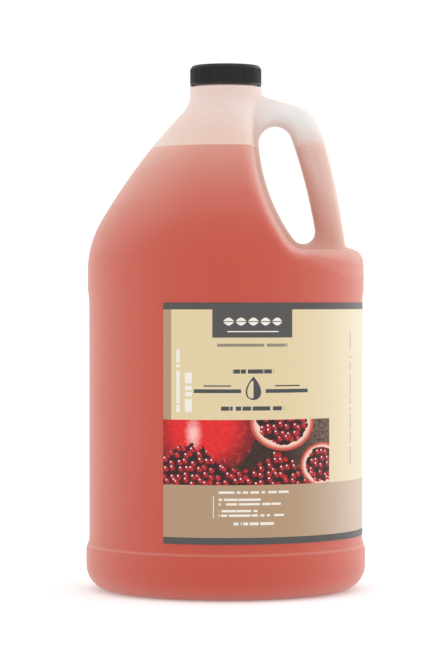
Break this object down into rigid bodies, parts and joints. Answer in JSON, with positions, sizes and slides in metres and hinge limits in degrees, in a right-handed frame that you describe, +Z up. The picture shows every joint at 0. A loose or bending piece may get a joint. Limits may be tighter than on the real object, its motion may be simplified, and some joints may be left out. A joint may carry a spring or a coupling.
{
  "type": "oil jug with screw cap",
  "caption": "Round translucent jug with a hollow through handle, filled with tinted massage oil, with a ribbed black screw cap, its liner and a wrap label.",
  "frame": {"origin": "on the surface the jug stands on, under the axis of the neck", "axes": "+Z up along the neck's axis; +X towards the handle; -Y is the label's front"},
  "size_m": [0.155, 0.155, 0.2904],
  "materials": {
    "bottle_plastic": "natural translucent polyethylene, satin",
    "cap_plastic": "black moulded polypropylene, fine satin",
    "liner_foam": "white closed-cell foam",
    "oil": "clear tinted oil",
    "label_film": "printed film, soft sheen"
  },
  "bodies": {
    "bottle": {"bottle": "bottle_plastic", "oil": "oil", "wrap_label": "label_film"},
    "liner": {"cap_liner": "liner_foam"},
    "cap": {"cap": "cap_plastic"}
  },
  "joints": [
    {"name": "cap_lift", "type": "slide", "parent": "bottle", "child": "liner", "axis": [0, 0, 1], "range_m": [0, 0.0148]},
    {"name": "cap_turn", "type": "hinge", "parent": "liner", "child": "cap", "pos_m": [0, 0, 0.288], "axis": [0, 0, 1], "range_deg": [0, 1260]}
  ],
  "couplings": [
    {"joint": "cap_turn", "follows": "cap_lift", "rad_per_m": 1484.2}
  ]
}
